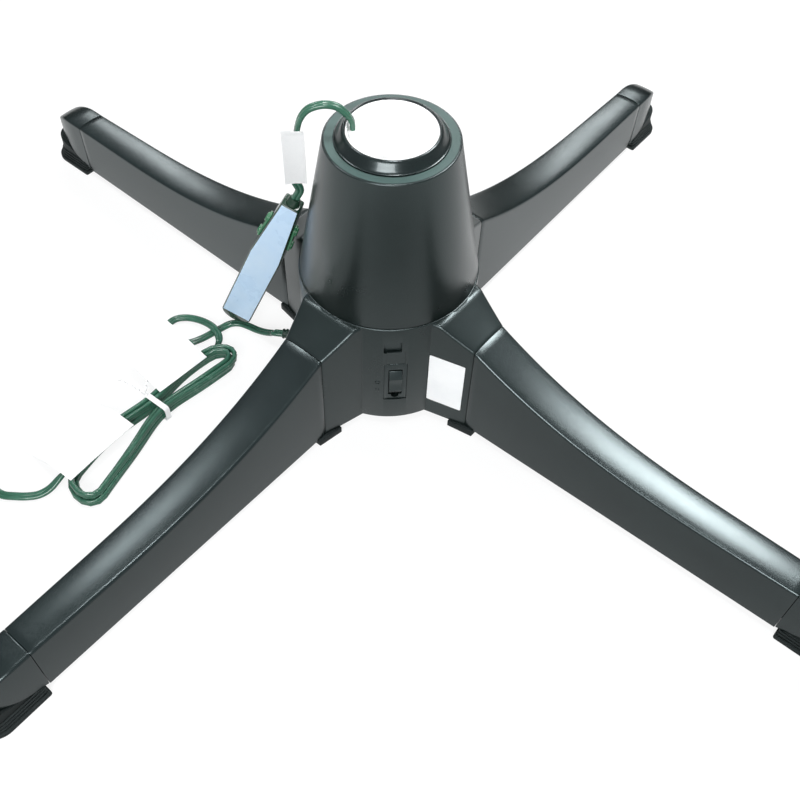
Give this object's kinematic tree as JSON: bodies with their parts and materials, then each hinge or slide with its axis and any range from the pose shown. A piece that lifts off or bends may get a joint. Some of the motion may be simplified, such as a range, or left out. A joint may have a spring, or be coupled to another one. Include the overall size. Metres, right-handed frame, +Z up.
{
  "type": "rotating christmas tree stand",
  "caption": "Four-legged stand whose tower holds a motor-driven rotating pole socket, with slip rings that feed a trailing outlet block, a rocker switch and a mains lead.",
  "frame": {"origin": "where the axis of rotation meets the floor", "axes": "+Z up along the axis of rotation, -Y towards the switch, +X to the right of the switch"},
  "size_m": [0.7279, 0.6652, 0.284],
  "materials": {
    "housing_plastic": "fine moulded grain, satin",
    "leg_plastic": "fine moulded grain, satin",
    "foot_rubber": "matt",
    "switch_plastic": "semi-gloss",
    "collar_plastic": "semi-gloss",
    "liner_plastic": "white moulding",
    "sticker_film": "blank white film",
    "steel": "zinc-plated",
    "acetal": "natural acetal",
    "brass": "turned",
    "copper_ring": "turned copper",
    "ring_drum": "phenolic",
    "carbon": "pressed carbon",
    "wire_pvc": "white insulation",
    "lead_pvc": "extruded, glossy",
    "block_plastic": "moulded, glossy",
    "label_film": "blank pale film",
    "tag_paper": "blank coated paper"
  },
  "bodies": {
    "base": {"hub_housing": "housing_plastic", "bottom_cover": "housing_plastic", "tower_shell": "housing_plastic", "upper_bush": "acetal", "leg_back_right": "leg_plastic", "leg_back_left": "leg_plastic", "leg_front_left": "leg_plastic", "leg_front_right": "leg_plastic", "cap_back_right": "leg_plastic", "cap_back_left": "leg_plastic", "cap_front_left": "leg_plastic", "cap_front_right": "leg_plastic", "foot_back_right": "foot_rubber", "foot_back_left": "foot_rubber", "foot_front_left": "foot_rubber", "foot_front_right": "foot_rubber", "joint_plate_back_right": "foot_rubber", "joint_plate_back_left": "foot_rubber", "joint_plate_front_left": "foot_rubber", "joint_plate_front_right": "foot_rubber", "cover_screws": "steel", "plate_screws": "steel", "tower_screws": "steel", "switch_bezel": "switch_plastic", "switch_body": "switch_plastic", "blank_sticker": "sticker_film", "motor_can": "steel", "motor_bracket": "steel", "lower_race": "steel", "thrust_balls": "steel", "brush_holder": "switch_plastic", "carbon_brushes": "carbon", "internal_leads": "wire_pvc", "cord_bush": "lead_pvc", "power_cord": "lead_pvc", "cord_hank": "lead_pvc", "hank_tie": "tag_paper", "cord_tail": "lead_pvc", "wall_plug": "lead_pvc", "plug_blades": "brass", "output_cord": "lead_pvc", "outlet_block": "block_plastic", "outlet_sockets": "block_plastic", "block_label": "label_film", "lead_tag": "tag_paper", "large_tag": "tag_paper", "small_tag": "tag_paper"},
    "turntable": {"drive_gear": "acetal", "pole_socket": "collar_plastic", "socket_collar": "collar_plastic", "socket_liner": "liner_plastic", "upper_race": "steel", "slip_ring_drum": "ring_drum", "slip_rings": "copper_ring"},
    "pinion": {"pinion": "brass"},
    "rocker": {"rocker": "switch_plastic"}
  },
  "joints": [
    {"name": "turntable_spin", "type": "hinge", "parent": "base", "child": "turntable", "pos_m": [0, 0, 0.15], "axis": [0, 0, 1], "continuous": true},
    {"name": "pinion_spin", "type": "hinge", "parent": "base", "child": "pinion", "pos_m": [0.03977, 0.03977, 0.039], "axis": [0, 0, 1], "continuous": true},
    {"name": "rocker_tilt", "type": "hinge", "parent": "base", "child": "rocker", "pos_m": [0, -0.068, 0.0575], "axis": [1, 0, 0], "range_deg": [-12, 12]}
  ],
  "couplings": [
    {"joint": "pinion_spin", "follows": "turntable_spin", "ratio": -4}
  ]
}
